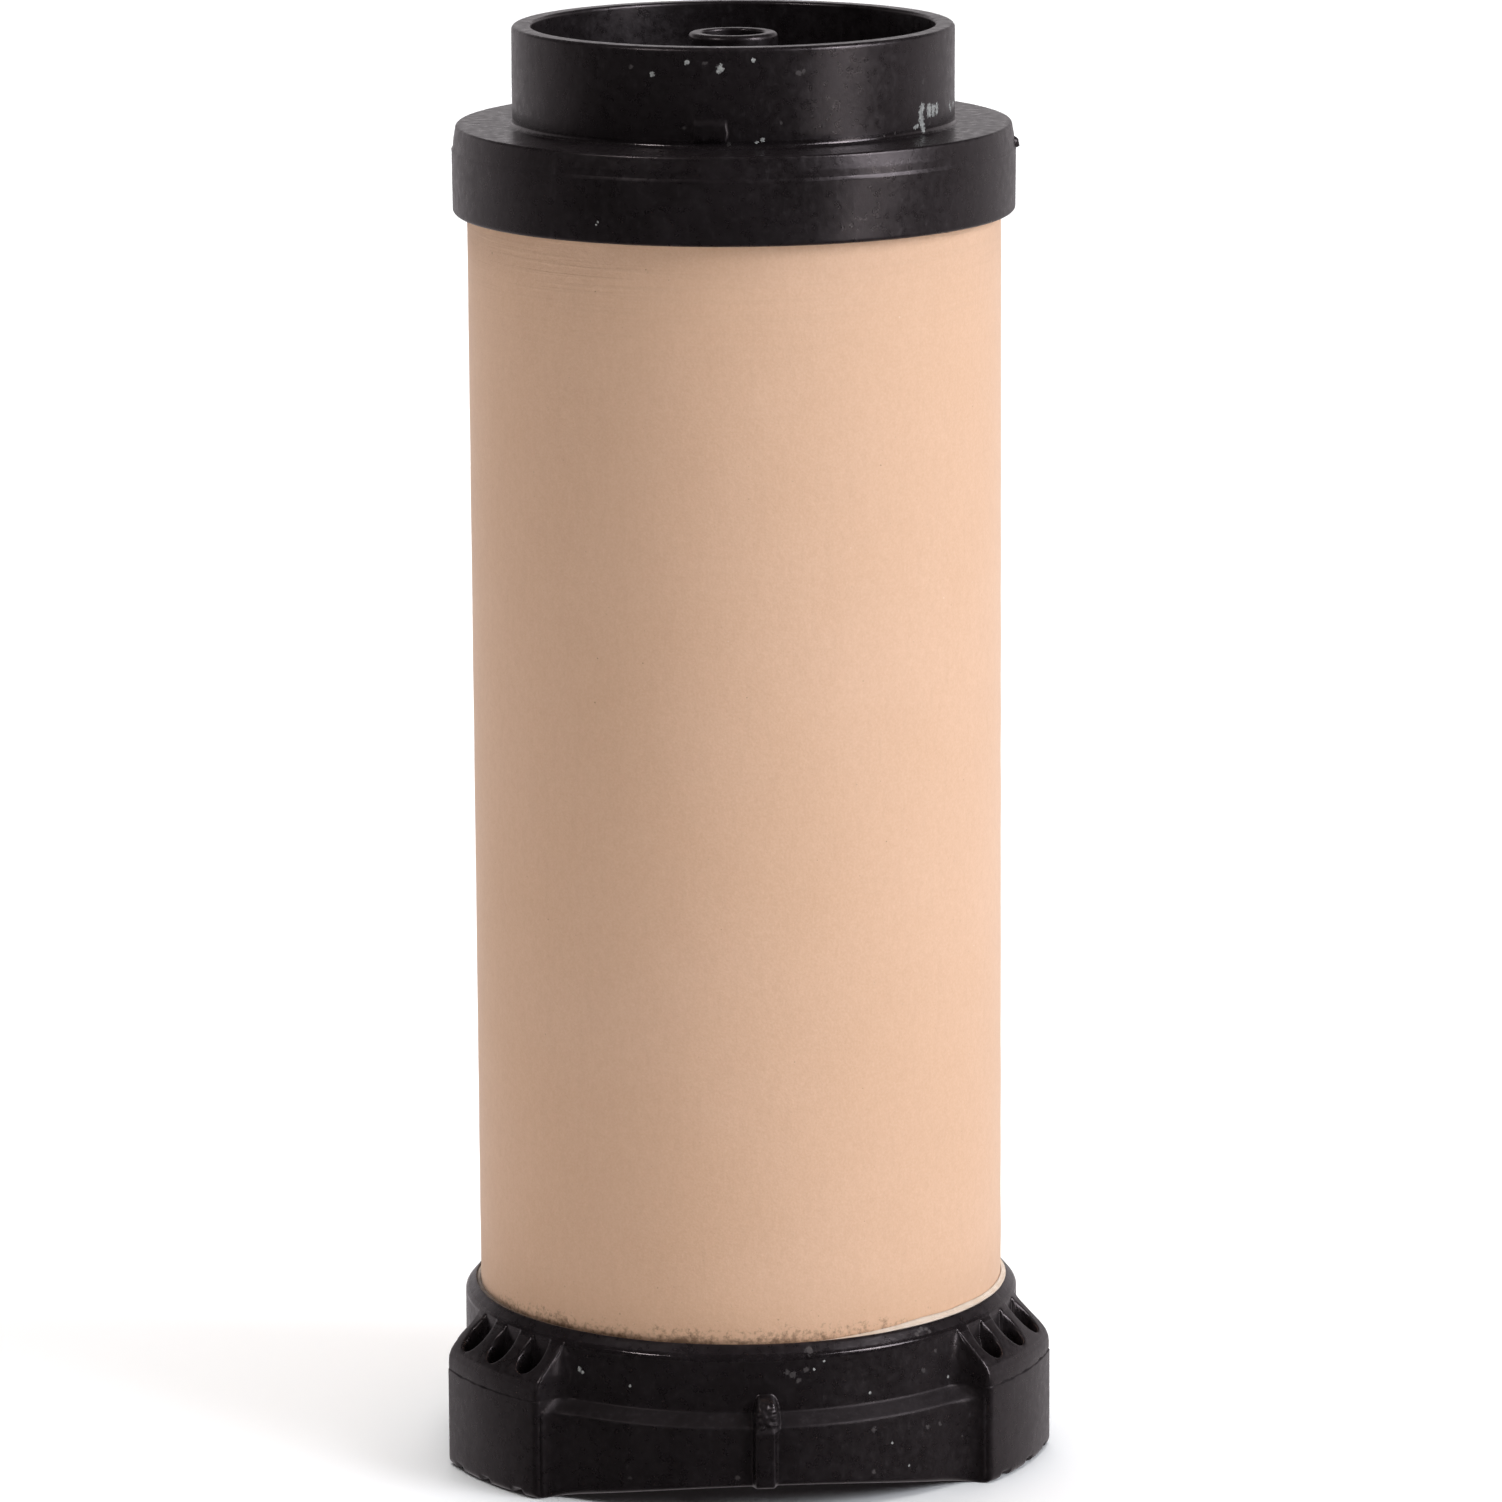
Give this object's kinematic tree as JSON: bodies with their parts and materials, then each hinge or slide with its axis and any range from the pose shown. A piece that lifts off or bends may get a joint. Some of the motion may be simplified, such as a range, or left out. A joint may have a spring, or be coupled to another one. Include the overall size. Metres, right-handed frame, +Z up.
{
  "type": "pump water filter cartridge",
  "caption": "Ceramic filter cartridge for a hand-pumped camping water filter, with a collared outlet cap and a lugged bottom cap.",
  "frame": {"origin": "on the cartridge's axis, in the plane that its three lugs stand on", "axes": "+Z up along the cartridge's axis, towards the outlet; -Y is the front, the middle of the panel with the moulding gate; +X is to the right of the front"},
  "size_m": [0.0578, 0.0587, 0.136],
  "materials": {
    "black_plastic": "satin",
    "ceramic": "matte",
    "adhesive": "satin",
    "carbon": "matte",
    "nonwoven": "matte",
    "seal_rubber": "matte",
    "filter_mesh": "matte"
  },
  "bodies": {
    "root": {"top_cap": "black_plastic", "bottom_cap": "black_plastic", "ceramic_barrel": "ceramic", "top_potting": "adhesive", "bottom_potting": "adhesive", "carbon_core": "carbon", "carbon_sleeve": "nonwoven", "core_top_washer": "seal_rubber", "core_bottom_disc": "seal_rubber", "outlet_screen": "filter_mesh"}
  },
  "joints": []
}
